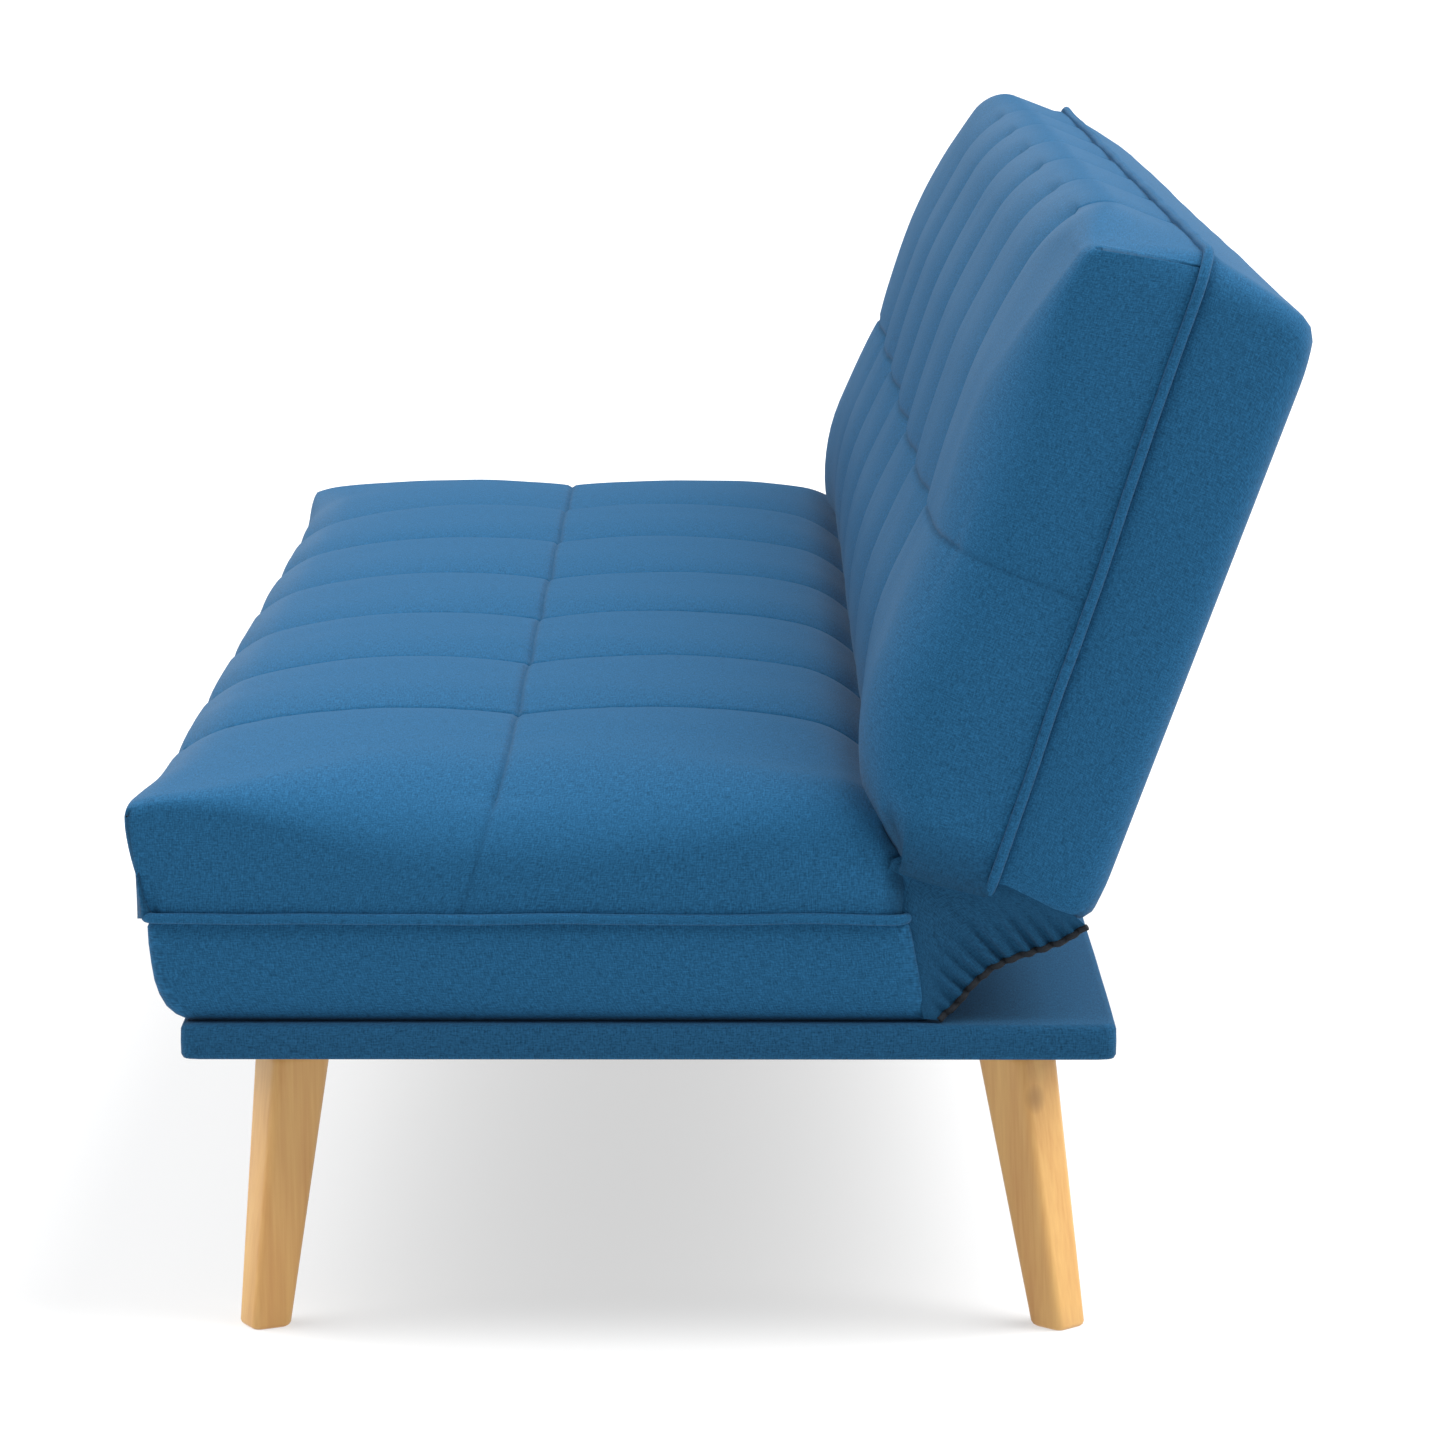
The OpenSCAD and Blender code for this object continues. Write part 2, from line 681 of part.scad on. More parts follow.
module gusset_elastic() {
    edge = gusset_edge();
    side = [0.62, -0.78] * 7;
    along_x(gusset_x - 1.5, gusset_x + 1.5) polygon(concat([for (p = edge) p + [0.3, -0.4]],
        [for (i = [len(edge) - 2 : -1 : 1]) edge[i] + side]));
}

module gusset_left() { color(shade_blue) at_end(false) gusset_sheet(); }
module gusset_right() { color(shade_blue) at_end(true) gusset_sheet(); }
module gusset_elastic_left() { color(black) at_end(false) gusset_elastic(); }
module gusset_elastic_right() { color(black) at_end(true) gusset_elastic(); }

// ---- nodes ---------------------------------------------------------------------------------

base_board();
base_cover();
base_dust_cover();
leg_front_left();
leg_front_right();
leg_rear_left();
leg_rear_right();
leg_t_nuts();
leg_hanger_bolts();
seat_rail_front();
seat_rail_rear();
seat_rail_left();
seat_rail_right();
seat_cross_rails();
seat_springs();
seat_spring_clips();
seat_felt_pad();
seat_foam();
seat_cushion();
seat_border();
seat_piping();
seat_base_bolts();
back_rail_top();
back_rail_bottom();
back_rail_left();
back_rail_right();
back_cross_rails();
back_webbing();
back_felt_pad();
back_foam();
back_cushion();
back_border();
back_piping();
seat_arm_left();
seat_arm_right();
back_arm_left();
back_arm_right();
pivot_bolt_left();
pivot_bolt_right();
pivot_nuts();
pivot_washers();
pawl_left();
pawl_right();
pawl_pin_left();
pawl_pin_right();
pawl_spring_left();
pawl_spring_right();
seat_arm_bolts();
back_arm_bolts();
gusset_left();
gusset_right();
gusset_elastic_left();
gusset_elastic_right();
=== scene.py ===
"""Looks of a click-clack sofa bed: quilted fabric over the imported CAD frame, in metres."""
import json
import math

import bpy
import numpy as np
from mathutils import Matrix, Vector, noise


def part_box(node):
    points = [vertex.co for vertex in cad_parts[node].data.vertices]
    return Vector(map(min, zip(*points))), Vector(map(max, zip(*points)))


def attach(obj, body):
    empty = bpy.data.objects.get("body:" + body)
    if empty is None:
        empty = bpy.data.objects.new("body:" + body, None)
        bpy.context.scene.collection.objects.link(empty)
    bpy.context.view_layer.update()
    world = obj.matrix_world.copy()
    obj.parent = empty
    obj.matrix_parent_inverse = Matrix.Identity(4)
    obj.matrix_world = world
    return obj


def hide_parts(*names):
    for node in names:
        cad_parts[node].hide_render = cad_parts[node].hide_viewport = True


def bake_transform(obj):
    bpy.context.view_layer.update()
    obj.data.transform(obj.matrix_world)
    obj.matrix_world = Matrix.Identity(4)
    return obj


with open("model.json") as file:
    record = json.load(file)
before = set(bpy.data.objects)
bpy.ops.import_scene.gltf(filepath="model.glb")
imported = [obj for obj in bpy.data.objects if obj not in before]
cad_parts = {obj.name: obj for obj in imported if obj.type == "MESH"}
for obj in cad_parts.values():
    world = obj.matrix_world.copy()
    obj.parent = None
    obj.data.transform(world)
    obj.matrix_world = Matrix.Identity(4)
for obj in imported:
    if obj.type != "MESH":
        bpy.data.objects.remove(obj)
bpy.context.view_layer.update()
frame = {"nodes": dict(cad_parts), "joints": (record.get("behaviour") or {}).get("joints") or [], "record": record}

# ---- places, all from the CAD frame ---------------------------------------------------------
MM = 0.001
RECLINE = math.radians(21.3)
fold = next(j for j in frame["joints"] if j["name"] == "back_fold")
PIVOT = Vector(fold["pos_m"])
seat_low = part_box("seat_cushion")[0]
base_low, base_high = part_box("base_cover")
HALF = base_high.x                      # half the sofa's length
SEAT_PIPE_Z = seat_low.z                # height of the piping around the seat
BACK_HIGH_U = 434 * MM                  # upper edge of the back
PIPE_LOW = (-9 * MM, -26 * MM)          # u, v of the back's piping at its lower edge
PIPE_HIGH = (434 * MM, -4 * MM)
SEAMS = [x * HALF / 875 for x in (-585, -351, -117, 117, 351, 585)]
SEAT_MID_Y = -138 * MM                  # the seam that crosses every channel of the seat
BACK_MID_U = 197 * MM                   # and of the back
PIPE_R = 3.6 * MM


def from_back(x, u, v):
    """A point of the back, u up along it and v forward of it, in the sofa's frame."""
    return (x, PIVOT.y + u * math.sin(RECLINE) - v * math.cos(RECLINE),
            PIVOT.z + u * math.cos(RECLINE) + v * math.sin(RECLINE))


# ---- small tools ----------------------------------------------------------------------------
def smooth(t):
    t = np.clip(t, 0.0, 1.0)
    return t * t * (3 - 2 * t)


def wobble(p, scale, seed=0.0):
    """Gentle noise from -1 to 1 at a point, with bumps about scale metres across."""
    return noise.noise(Vector((p[0] / scale + seed, p[1] / scale - seed, p[2] / scale)))


def mesh_object(name, verts, faces, uvs=None, corner_uvs=None, smooth_shade=True):
    """A mesh, with the cloth's lie in metres for each point, or for each corner of each face."""
    mesh = bpy.data.meshes.new(name)
    mesh.from_pydata([tuple(v) for v in verts], [], faces)
    if uvs is not None:
        corner_uvs = np.array(uvs, np.float32)[np.array([l.vertex_index for l in mesh.loops])]
    if corner_uvs is not None:
        layer = mesh.uv_layers.new(name="cloth")
        layer.data.foreach_set("uv", np.array(corner_uvs, np.float32).ravel())
    if smooth_shade:
        mesh.polygons.foreach_set("use_smooth", [True] * len(mesh.polygons))
    obj = bpy.data.objects.new(name, mesh)
    bpy.context.scene.collection.objects.link(obj)
    return obj


def mark_seams(obj, values):
    """Remembers how close each point lies to a stitched seam, for the shade painted into the cloth's colour along
    the seams.
    """
    layer = obj.data.attributes.new("seam", "FLOAT", "POINT")
    layer.data.foreach_set("value", np.array(values, np.float32))


def vertex_normals(verts, faces):
    """Area-weighted normals of a quad mesh."""
    v, f = np.asarray(verts), np.asarray(faces)
    n = np.cross(v[f[:, 2]] - v[f[:, 0]], v[f[:, 3]] - v[f[:, 1]])
    out = np.zeros_like(v)
    for k in range(4):
        np.add.at(out, f[:, k], n)
    return out / np.maximum(np.linalg.norm(out, axis=1, keepdims=True), 1e-12)


def stations(low, high, step, marks=(), fine=(1.5 * MM, 4 * MM, 8 * MM)):
    """Grid lines from low to high, close together beside each mark."""
    lines = list(np.linspace(low, high, max(2, round((high - low) / step) + 1)))
    keep = [x for x in lines if all(abs(x - m) > fine[-1] * 1.4 for m in marks)]
    for m in marks:
        keep += [m] + [m + s * d for d in fine for s in (-1, 1)]
    return np.array(sorted(keep))


def tube(name, path, radius, sides=12, closed=True):
    """A round cord along a path of points."""
    p = np.array(path, float)
    n = len(p)
    ahead = np.roll(p, -1, 0) - np.roll(p, 1, 0)
    if not closed:
        ahead[0], ahead[-1] = p[1] - p[0], p[-1] - p[-2]
    ahead /= np.linalg.norm(ahead, axis=1, keepdims=True)
    up = np.array([0.0, 0.0, 1.0]) if abs(ahead[0][2]) < 0.9 else np.array([1.0, 0.0, 0.0])
    side = np.cross(ahead[0], up)
    side /= np.linalg.norm(side)
    sides_at = []
    for t in ahead:                       # carried along, so that the cord does not twist
        side = side - t * (side @ t)
        side /= np.linalg.norm(side)
        sides_at.append(side)
    length = np.concatenate([[0], np.cumsum(np.linalg.norm(np.diff(p, axis=0), axis=1))])
    verts, uvs, faces = [], [], []
    for i in range(n):
        other = np.cross(ahead[i], sides_at[i])
        for k in range(sides):
            a = 2 * math.pi * k / sides
            verts.append(p[i] + radius * (math.cos(a) * sides_at[i] + math.sin(a) * other))
            uvs.append((length[i], radius * a))
    for i in range(n if closed else n - 1):
        for k in range(sides):
            a, b = i * sides + k, i * sides + (k + 1) % sides
            j = (i + 1) % n
            faces.append((a, b, j * sides + (k + 1) % sides, j * sides + k))
    if not closed:
        faces += [tuple(range(sides))[::-1], tuple((n - 1) * sides + k for k in range(sides))]
    return mesh_object(name, verts, faces, uvs)


# ---- upholstery -----------------------------------------------------------------------------
class Edge:
    """How a pad's top rolls over one of its edges.

    middle and corner: inset and drop of the roll at the middle of the edge and at its ends;
    first: the same at the end where the edge starts, if it differs there; out: how far the wall
    bulges beyond the piping at the corners; pull: how much less at the middle; reach: how far
    from a corner the roll changes.
    """

    def __init__(self, middle, corner, out, pull, reach=0.16, first=None):
        self.middle, self.corner, self.first = middle, corner, first or corner
        self.out, self.pull, self.reach = out, pull, reach

    def near(self, d):
        """1 at a corner, falling to 0 at reach from it."""
        return 1 - smooth(d / self.reach)

    def roll(self, t, d, starts=False):
        """Inset and drop of the roll at t, from 0 on top to 1 on the wall, d from a corner."""
        near, corner = self.near(d), self.first if starts else self.corner
        inset, drop = (MM * (m + (c - m) * near) for m, c in zip(self.middle, corner))
        return inset * (1 - math.sin(math.pi / 2 * t)), drop * (1 - math.cos(math.pi / 2 * t))

    def bulge(self, d):
        return (self.out - self.pull * (1 - self.near(d))) * MM


ROLL_STEPS = 8
CROWN = 100 * MM                      # about how high a pad stands over its piping


def pad(name, place, half, b_low, b_high, height, edges, quilt, wall_rows, mid, slant,
        step=9 * MM):
    """A pad whose top sheet wraps down to a piping line on all four sides, pinched at the corners.

    place(x, b, h) gives the point in the sofa's frame; height(x, b) is the top's height over the
    piping; edges are the rolls at the ends, at b_low and at b_high; quilt(x, b) is how deep the
    stitching pulls the cloth in; wall_rows is how many rows of faces a wall has; slant is how far
    the long seam leans towards b_low on its way down the ends.
    """
    end, low, high = edges
    last_seam = SEAMS[-1]
    # grid lines: a number is a place on the flat, a pair is a share of the roll on a side
    flat_x = stations(-half, half, step, SEAMS)
    lines_x = ([(-1, 0.5 - 0.5 * k / ROLL_STEPS) for k in range(ROLL_STEPS)] + [x for x in flat_x]
               + [(1, 0.5 * (k + 1) / ROLL_STEPS) for k in range(ROLL_STEPS)])
    flat_b = stations(b_low, b_high, step, [mid])
    lines_b = ([(-1, 0.5 - 0.5 * k / ROLL_STEPS) for k in range(ROLL_STEPS)] + [b for b in flat_b]
               + [(1, 0.5 * (k + 1) / ROLL_STEPS) for k in range(ROLL_STEPS)])
    nx, nb = len(lines_x), len(lines_b)

    def flat_place(value, lo, hi, lo_in, hi_in, fixed_lo, fixed_hi):
        """Moves a flat line so that the flat ends where the rolls begin, between fixed lines."""
        if value > fixed_hi:
            return fixed_hi + (value - fixed_hi) * (hi - hi_in - fixed_hi) / (hi - fixed_hi)
        if value < fixed_lo:
            return fixed_lo - (fixed_lo - value) * (fixed_lo - lo - lo_in) / (fixed_lo - lo)
        return value

    def plain(line, lo, hi):
        return line if not isinstance(line, tuple) else (lo if line[0] < 0 else hi)

    def point(i, j, t_end=None, t_b=None):
        """Grid point i, j; t_end or t_b above 0.5 is further round the roll of that side."""
        lx, lb = lines_x[i], lines_b[j]
        px, pb = plain(lx, -half, half), plain(lb, b_low, b_high)
        d_x, d_b = min(pb - b_low, b_high - pb), half - abs(px)
        starts = pb - b_low < b_high - pb
        ends, lows = end.roll(0, d_x, starts)[0], low.roll(0, d_b)[0]
        highs = high.roll(0, d_b)[0]
        drop = 0.0
        if isinstance(lx, tuple):
            t = t_end if t_end is not None else lx[1]
            inset, fall = end.roll(t, d_x, starts)
            x = lx[0] * (half + end.bulge(d_x) * min(1, 2 * t) - inset)
            drop += fall
        else:
            x = flat_place(px, -half, half, ends, ends, SEAMS[0], last_seam)
        if isinstance(lb, tuple):
            edge = low if lb[0] < 0 else high
            t = t_b if t_b is not None else lb[1]
            inset, fall = edge.roll(t, d_b)
            limit = b_low if lb[0] < 0 else b_high
            b = limit + lb[0] * (edge.bulge(d_b) * min(1, 2 * t) - inset)
            drop += fall
        else:
            b = flat_place(pb, b_low, b_high, lows, highs, mid, mid)
        return x, b, drop

    verts, params = [], []

    def add(x, b, h, side, w):
        lean = 0.0
        if side != 2 and abs(x) > last_seam:
            lean = slant * max(0.0, 1 - h / CROWN) * math.exp(-((b - mid) / (120 * MM)) ** 2)
        verts.append(place(x, b - lean, h))
        params.append((x, b, h, side, w))
        return len(verts) - 1

    top = [[0] * nb for _ in range(nx)]
    for i in range(nx):
        for j in range(nb):
            x, b, drop = point(i, j)
            top[i][j] = add(x, b, height(x, b) - drop, 0, 0.0)
    faces = [(top[i][j], top[i + 1][j], top[i + 1][j + 1], top[i][j + 1])
             for i in range(nx - 1) for j in range(nb - 1)]
    face_sides = [0] * len(faces)
    rim = ([(i, 0) for i in range(nx - 1)] + [(nx - 1, j) for j in range(nb - 1)]
           + [(i, nb - 1) for i in range(nx - 1, 0, -1)] + [(0, j) for j in range(nb - 1, 0, -1)])
    rings = [[top[i][j] for i, j in rim]]
    roll_down = [0.5 + 0.5 * (k + 1) / ROLL_STEPS for k in range(ROLL_STEPS)]
    wall = [(k + 1) / wall_rows for k in range(wall_rows)]
    for t, w in [(t, 0.0) for t in roll_down] + [(1.0, w) for w in wall]:
        ring = []
        for i, j in rim:
            on_end, on_b = i in (0, nx - 1), j in (0, nb - 1)
            x, b, drop = point(i, j, t if on_end else None, t if on_b else None)
            if on_end and on_b:
                drop *= 1 - 0.5 * smooth(2 * t - 1)   # a corner falls once, not for each side
            h_wall = height(x, b) - drop
            side = 1 if on_end and not on_b else 2 if on_b and not on_end else 3
            if w > 0:
                keep = 1 - w ** 1.7
                lim_b = b_low if j == 0 else b_high
                if on_end:
                    x = math.copysign(half + (abs(x) - half) * keep, x)
                if on_b:
                    b = lim_b + (b - lim_b) * keep
                h_wall *= 1 - w
            ring.append(add(x, b, h_wall, side, w))
        rings.append(ring)
    n = len(rim)
    on_end = [a in (0, nx - 1) and rim[(k + 1) % n][0] == a for k, (a, _) in enumerate(rim)]
    for upper, lower in zip(rings, rings[1:]):
        faces += [(upper[k], lower[k], lower[(k + 1) % n], upper[(k + 1) % n]) for k in range(n)]
        face_sides += [1 if on_end[k] else 2 for k in range(n)]
    verts = np.array(verts)
    normals = vertex_normals(verts, faces)
    results = [quilt(*q) for q in params]
    verts -= normals * np.array([r[0] for r in results])[:, None]
    crown = max(q[2] for q in params)
    corner_uvs = []
    for face, side in zip(faces, face_sides):
        for v in face:
            x, b, h = params[v][:3]
            fall = crown - h
            corner_uvs.append((x + math.copysign(fall, x) if side == 1 else x,
                               b + math.copysign(fall, b - mid) if side == 2 else b))
    obj = mesh_object(name, verts, faces, corner_uvs=corner_uvs)
    mark_seams(obj, [r[1] for r in results])
    return obj


def quilting(mid, seam_depth, knot_depth, cross_depth, groove, mid_reach=0.12):
    """How deep the cloth lies below its crown: along the seven channels' seams, most where the
    long seam crosses them, and in a narrow stitched groove on every seam. Gives the depth and how
    close the point lies to a seam."""
    def depth(x, b, h, side, w):
        gap, channel = min((abs(x - s), s) for s in SEAMS)
        width = HALF - SEAMS[-1] if abs(x) > SEAMS[-1] else SEAMS[1] - SEAMS[0]
        crown = 1 - max(0.0, 1 - 2 * gap / width) ** 3.2
        d_mid = abs(b - mid)
        near_mid = max(0.0, 1 - d_mid / mid_reach) ** 2.4
        near_knot = math.exp(-(gap / (45 * MM)) ** 2)
        held = (1 - w) ** 0.5             # the wall is held by the piping
        seam = (1 - crown) * (seam_depth + (knot_depth - seam_depth) * near_mid)
        cross = crown * cross_depth * near_mid * (0.55 + 0.45 * near_knot)
        stitch_seam = math.exp(-(gap / (2.2 * MM)) ** 2)
        stitch_mid = math.exp(-(d_mid / (2.0 * MM)) ** 2) * (0.3 if side == 1 else 0.6)
        if side == 1:                     # the ends: only the long seam comes down
            seam, stitch = 0.0, stitch_mid
        elif side == 2:                   # front and rear: only the channels' seams do
            cross, stitch = 0.0, stitch_seam
        else:
            stitch = max(stitch_seam, stitch_mid)
        if side == 3:
            seam, cross, stitch = 0.0, 0.0, 1.0
        pucker = 0.0
        if side in (0, 2) and gap < 45 * MM:
            along = b if side == 0 else h
            bumps = noise.noise(Vector((channel * 7, along / (13 * MM), side)))
            pucker = 1.1 * MM * math.exp(-gap / (14 * MM)) * (1 + bumps)
        if side in (0, 1) and d_mid < 45 * MM:
            along = x if side == 0 else h
            bumps = noise.noise(Vector((mid * 7, along / (13 * MM), side + 5)))
            pucker = max(pucker, 0.8 * MM * math.exp(-d_mid / (14 * MM)) * (1 + bumps))
        soft = 1.3 * MM * wobble((x, b, h), 0.14, 3.0) + 0.45 * MM * wobble((x, b, h), 0.045, 9.0)
        total = (seam + cross) * held * (1.0 if side == 0 else 0.4)
        total += groove * stitch * (0.5 + 0.5 * held) + (pucker + soft) * held
        return total, stitch
    return depth


def eased(x, b, low, high, share, radii):
    """Rounds a rectangle's corners, those at its low and its high side by their own radius: a
    share of the way from a square corner to a round one."""
    for edge, way, r in ((low, -1, radii[0]), (high, 1, radii[1])):
        dx, db = abs(x) - (HALF - r), way * (b - edge) + r
        if dx > 0 and db > 0:
            pull = 1 + share * (max(dx, db) / math.hypot(dx, db) - 1)
            return math.copysign(HALF - r + dx * pull, x), edge + way * (db * pull - r)
    return x, b


# the seat's top cover
SEAT_FRONT, SEAT_REAR = -368 * MM, 124 * MM


REAR_TUCK = 15 * MM                     # how far the back squeezes the seat's rear ends in


def seat_place(x, b, h):
    share = 1 - min(1.0, max(0.0, h / (60 * MM)))
    x, b = eased(x, b, SEAT_FRONT, SEAT_REAR, share, (14 * MM, 9 * MM))
    tuck = REAR_TUCK * smooth((b - 30 * MM) / (80 * MM)) * smooth((h - 10 * MM) / (40 * MM))
    x -= math.copysign(tuck * smooth((abs(x) - HALF + 120 * MM) / (120 * MM)), x)
    return (x, b, SEAT_PIPE_Z + h)


def seat_height(x, b):
    t = 2 * (b - SEAT_FRONT) / (SEAT_REAR - SEAT_FRONT) - 1
    across = 1 - abs(t) ** 3.5
    along = 1 - abs(x / HALF) ** 6
    fall = max(0.0, b - 20 * MM) / (104 * MM)
    return (80 + 26 * across * (0.3 + 0.7 * along) - 4 * fall ** 1.5) * MM


SEAT_SLANT = 28 * MM
seat_edges = (Edge((112, 56), (50, 34), 5, 4, 0.2, first=(10, 10)),
              Edge((32, 28), (10, 9), 15, 2), Edge((62, 40), (50, 34), 2, 2, 0.2))
seat_cover = pad(
    "seat_cover", seat_place, HALF - 2 * MM, SEAT_FRONT, SEAT_REAR, seat_height, seat_edges,
    quilting(SEAT_MID_Y, 8 * MM, 14 * MM, 8 * MM, 3 * MM), 10, SEAT_MID_Y, SEAT_SLANT)


# the back's front cover: b is u, and h is measured forward from the piping's line
def pipe_v(u):
    t = (u - PIPE_LOW[0]) / (PIPE_HIGH[0] - PIPE_LOW[0])
    return PIPE_LOW[1] + t * (PIPE_HIGH[1] - PIPE_LOW[1])


def back_place(x, b, h):
    front = min(1.0, max(0.0, h / (80 * MM)))
    x, u = eased(x, b, PIPE_LOW[0], BACK_HIGH_U, 1 - front, (10 * MM, 30 * MM))
    t = max(0.0, (u - BACK_MID_U) / (BACK_HIGH_U - BACK_MID_U))
    sag = smooth((abs(x) - HALF + 150 * MM) / (150 * MM))
    return from_back(x, u - 23 * MM * sag * front * t * t, pipe_v(b) + h)


def back_height(x, b):
    fall = max(0.0, (b - 290 * MM) / (143 * MM))
    end = abs(x / HALF) ** 6
    return (98 - 21 * fall ** 1.5 - 5 * end) * MM - pipe_v(b)


back_edges = (Edge((88, 48), (12, 12), 6, 3, first=(70, 42)),
              Edge((150, 96), (120, 80), 5, 1, 0.2), Edge((60, 36), (9, 8), 1, 0, 0.25))
back_cover = pad(
    "back_cover", back_place, HALF - 2 * MM, PIPE_LOW[0], BACK_HIGH_U - 1 * MM, back_height,
    back_edges, quilting(BACK_MID_U, 8 * MM, 14 * MM, 8 * MM, 3 * MM), 10,
    BACK_MID_U, 0.0)


# ---- plain covers, bands and cords ----------------------------------------------------------
def rounded_rect(half_x, b_low, b_high, r, along_x=72, along_b=22, arc=5):
    """Points (x, b) around a rounded rectangle, always as many of them."""
    corners = [(half_x - r, b_low + r, -90), (half_x - r, b_high - r, 0),
               (-half_x + r, b_high - r, 90), (-half_x + r, b_low + r, 180)]
    out = []
    for k, (cx, cb, start) in enumerate(corners):
        for step in range(arc):
            a = math.radians(start + 90 * step / (arc - 1))
            out.append((cx + r * math.cos(a), cb + r * math.sin(a)))
        nx, nb, n_start = corners[(k + 1) % 4]
        a = math.radians(n_start)
        here, there = np.array(out[-1]), np.array((nx + r * math.cos(a), nb + r * math.sin(a)))
        n = along_b if k % 2 == 0 else along_x
        out += [tuple(here + (there - here) * q / n) for q in range(1, n)]
    return out


def loft(name, rings, cap_last=False, cap_first=False):
    """A surface through rings of points, with the cloth's lie measured along it."""
    rings = [np.array(r, float) for r in rings]
    n = len(rings[0])
    around = np.concatenate([[0], np.cumsum(np.linalg.norm(np.diff(rings[0], axis=0), axis=1))])
    down, verts, uvs = 0.0, [], []
    for k, ring in enumerate(rings):
        if k:
            down += float(np.linalg.norm(ring - rings[k - 1], axis=1).mean())
        verts += list(ring)
        uvs += [(a, down) for a in around]
    faces = [(k * n + q, k * n + (q + 1) % n, (k + 1) * n + (q + 1) % n, (k + 1) * n + q)
             for k in range(len(rings) - 1) for q in range(n)]
    corner_uvs = [uvs[v] for f in faces for v in f]
    for wanted, k in ((cap_first, 0), (cap_last, len(rings) - 1)):
        if wanted:
            face = tuple(k * n + q for q in range(n))
            faces.append(face[::-1] if k == 0 else face)
            a, b = np.abs(np.ptp(rings[k], axis=0)).argsort()[-2:]
            corner_uvs += [(verts[v][b], verts[v][a]) for v in faces[-1]]
    return mesh_object(name, verts, faces, corner_uvs=corner_uvs)


def ripple(points, amount, scale, seed):
    """Moves points by soft noise, for cloth that isn't quite even."""
    return [tuple(np.array(p) + amount * np.array(noise.noise_vector(
        Vector(p) / scale + Vector((seed, 0, 0))))) for p in points]


# the band below the seat's piping: height, front, rear, half length, corner radius, in mm
BAND = ((286, -367, 125, 872, 8), (279, -369, 127, 874, 8), (268, -368.5, 129.5, 874.5, 9),
        (254, -367, 132.5, 874, 10), (243, -365.5, 135.5, 873, 11), (234, -363, 138, 871.5, 12),
        (226, -359, 140, 869, 12), (220.5, -353, 140.5, 865.5, 9), (217.6, -347, 140, 861.5, 4),
        (216.3, -343, 139, 859.5, 3))
band_rings = [ripple([(x, b, z * MM) for x, b in rounded_rect(
    hx * MM, y0 * MM, y1 * MM, r * MM)], 1.2 * MM if 218 < z < 284 else 0, 0.09, 4)
    for z, y0, y1, hx, r in BAND]
seat_band = loft("seat_band", band_rings[::-1])

# the plain box behind the back's piping: lower u and v, upper u and v, half length, corner radius
BOX = ((-8, -26, 434, -4, 873, 28), (-4, -34, 431, -16, 874, 26), (-2, -50, 427, -38, 875, 22),
       (-1.5, -70, 422, -62, 875, 18), (-1.5, -82, 418, -76, 873, 17), (0, -90, 413, -84, 868, 20),
       (4.5, -95.5, 406, -89, 860, 22), (11, -97.5, 398, -91.5, 850, 24),
       (24, -98, 385, -92, 836, 26))


def box_ring(u0, v0, u1, v1, half_x, r, uneven=0.0):
    """A ring around the back, in a plane through its lower and upper edges."""
    points = []
    for x, u in rounded_rect(half_x * MM, u0 * MM, u1 * MM, r * MM):
        v = v0 + (v1 - v0) * (u / MM - u0) / (u1 - u0)
        points.append(from_back(x, u, v * MM))
    return ripple(points, uneven, 0.12, 8)


box_rings = [box_ring(*row, uneven=(0, 0.4, 1.3, 1.3, 0.8, 0.4, 0.2, 0, 0)[k] * MM)
             for k, row in enumerate(BOX)]
back_box = loft("back_box", box_rings, cap_last=True, cap_first=True)

# the wrapped base board: inset, height, corner radius
WRAP = ((30, 192.8, 8), (5, 192.3, 8), (1.5, 193.2, 8), (0.2, 195.5, 8), (0, 204, 8),
        (0.2, 212.5, 8), (1.5, 215, 8), (5, 216, 8))
base_wrap = loft("base_wrap", [ripple([(x, b, z * MM) for x, b in rounded_rect(
    base_high.x - i * MM, base_low.y + i * MM, base_high.y - i * MM, r * MM)],
    0.5 * MM if 194 < z < 213 else 0, 0.12, 2) for i, z, r in WRAP], cap_last=True)

# the piping: a cord sewn into each cover's edge, a little wavy
seat_welt = tube("seat_welt", ripple([(x, b, SEAT_PIPE_Z) for x, b in rounded_rect(
    HALF - 0.5 * MM, SEAT_FRONT - 1.5 * MM, SEAT_REAR + 1 * MM, 9 * MM, 110, 40)],
    1.3 * MM, 0.06, 1), PIPE_R)
back_welt = tube("back_welt", ripple([from_back(x, u, pipe_v(u)) for x, u in rounded_rect(
    HALF - 0.5 * MM, PIPE_LOW[0] - 1 * MM, BACK_HIGH_U + 0.5 * MM, 28 * MM, 110, 40, 9)],
    1.0 * MM, 0.06, 6), PIPE_R)

# ---- slits for the hinges -------------------------------------------------------------------
SLIT_ROOM = 3 * MM                      # kept free on each side of a hinge's steel
SLIT_U = (-40 * MM, 30 * MM)            # along the back, around the pivot
SLIT_V = (-54 * MM, 40 * MM)            # and across it


